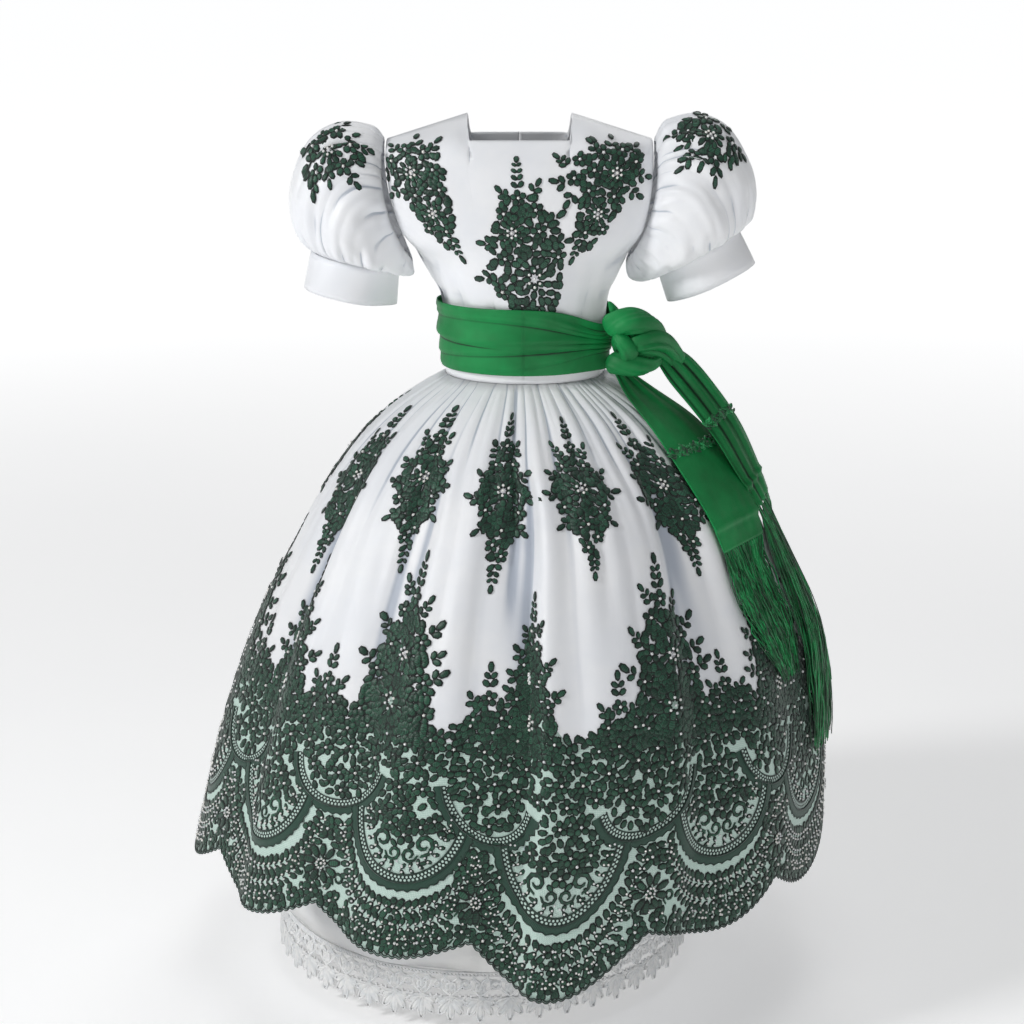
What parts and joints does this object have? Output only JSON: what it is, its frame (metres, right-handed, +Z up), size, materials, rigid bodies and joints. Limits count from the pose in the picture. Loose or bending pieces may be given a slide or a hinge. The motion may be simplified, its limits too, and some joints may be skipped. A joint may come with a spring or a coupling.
{
  "type": "china poblana dress",
  "caption": "Child's worn-shape dress: bodice, puff sleeves, gathered bell skirt with green lace border, knotted sash and lace-trimmed underskirt; hollow.",
  "frame": {"origin": "middle of the shoulder line, where the wearer's shoulders hold the dress up", "axes": "+Z up, front towards -Y, the wearer's left towards +X"},
  "size_m": [0.7316, 0.7419, 0.9621],
  "materials": {
    "white_satin": "smooth white satin with a soft sheen",
    "green_lace": "dark green corded lace with satin-stitch fill and small pearls",
    "sash_cloth": "green woven rayon, soft and a little shiny",
    "sash_fringe": "green twisted fringe yarn",
    "white_cotton": "matt white petticoat cloth",
    "white_guipure": "white guipure lace with raised cords"
  },
  "bodies": {
    "root": {"bodice_front": "white_satin", "bodice_back_left": "white_satin", "bodice_back_right": "white_satin", "lace_bodice_right": "green_lace", "lace_bodice_centre": "green_lace", "lace_bodice_left": "green_lace", "sleeve_left": "white_satin", "cuff_left": "white_satin", "lace_sleeve_left": "green_lace", "sleeve_right": "white_satin", "cuff_right": "white_satin", "lace_sleeve_right": "green_lace", "skirt_front": "white_satin", "lace_border_front": "green_lace", "skirt_back_left": "white_satin", "lace_border_back_left": "green_lace", "skirt_back_right": "white_satin", "lace_border_back_right": "green_lace", "lace_diamond_01": "green_lace", "lace_diamond_02": "green_lace", "lace_diamond_03": "green_lace", "lace_diamond_04": "green_lace", "lace_diamond_05": "green_lace", "lace_diamond_06": "green_lace", "lace_diamond_07": "green_lace", "lace_diamond_08": "green_lace", "lace_diamond_09": "green_lace", "lace_diamond_10": "green_lace", "lace_diamond_11": "green_lace", "lace_diamond_12": "green_lace", "lace_diamond_13": "green_lace", "waist_band": "white_satin", "sash_wrap": "sash_cloth", "sash_knot": "sash_cloth", "sash_tail_front": "sash_cloth", "sash_tail_back": "sash_cloth", "sash_fringe_front": "sash_fringe", "sash_fringe_back": "sash_fringe", "underskirt": "white_cotton", "guipure_trim": "white_guipure"}
  },
  "joints": []
}
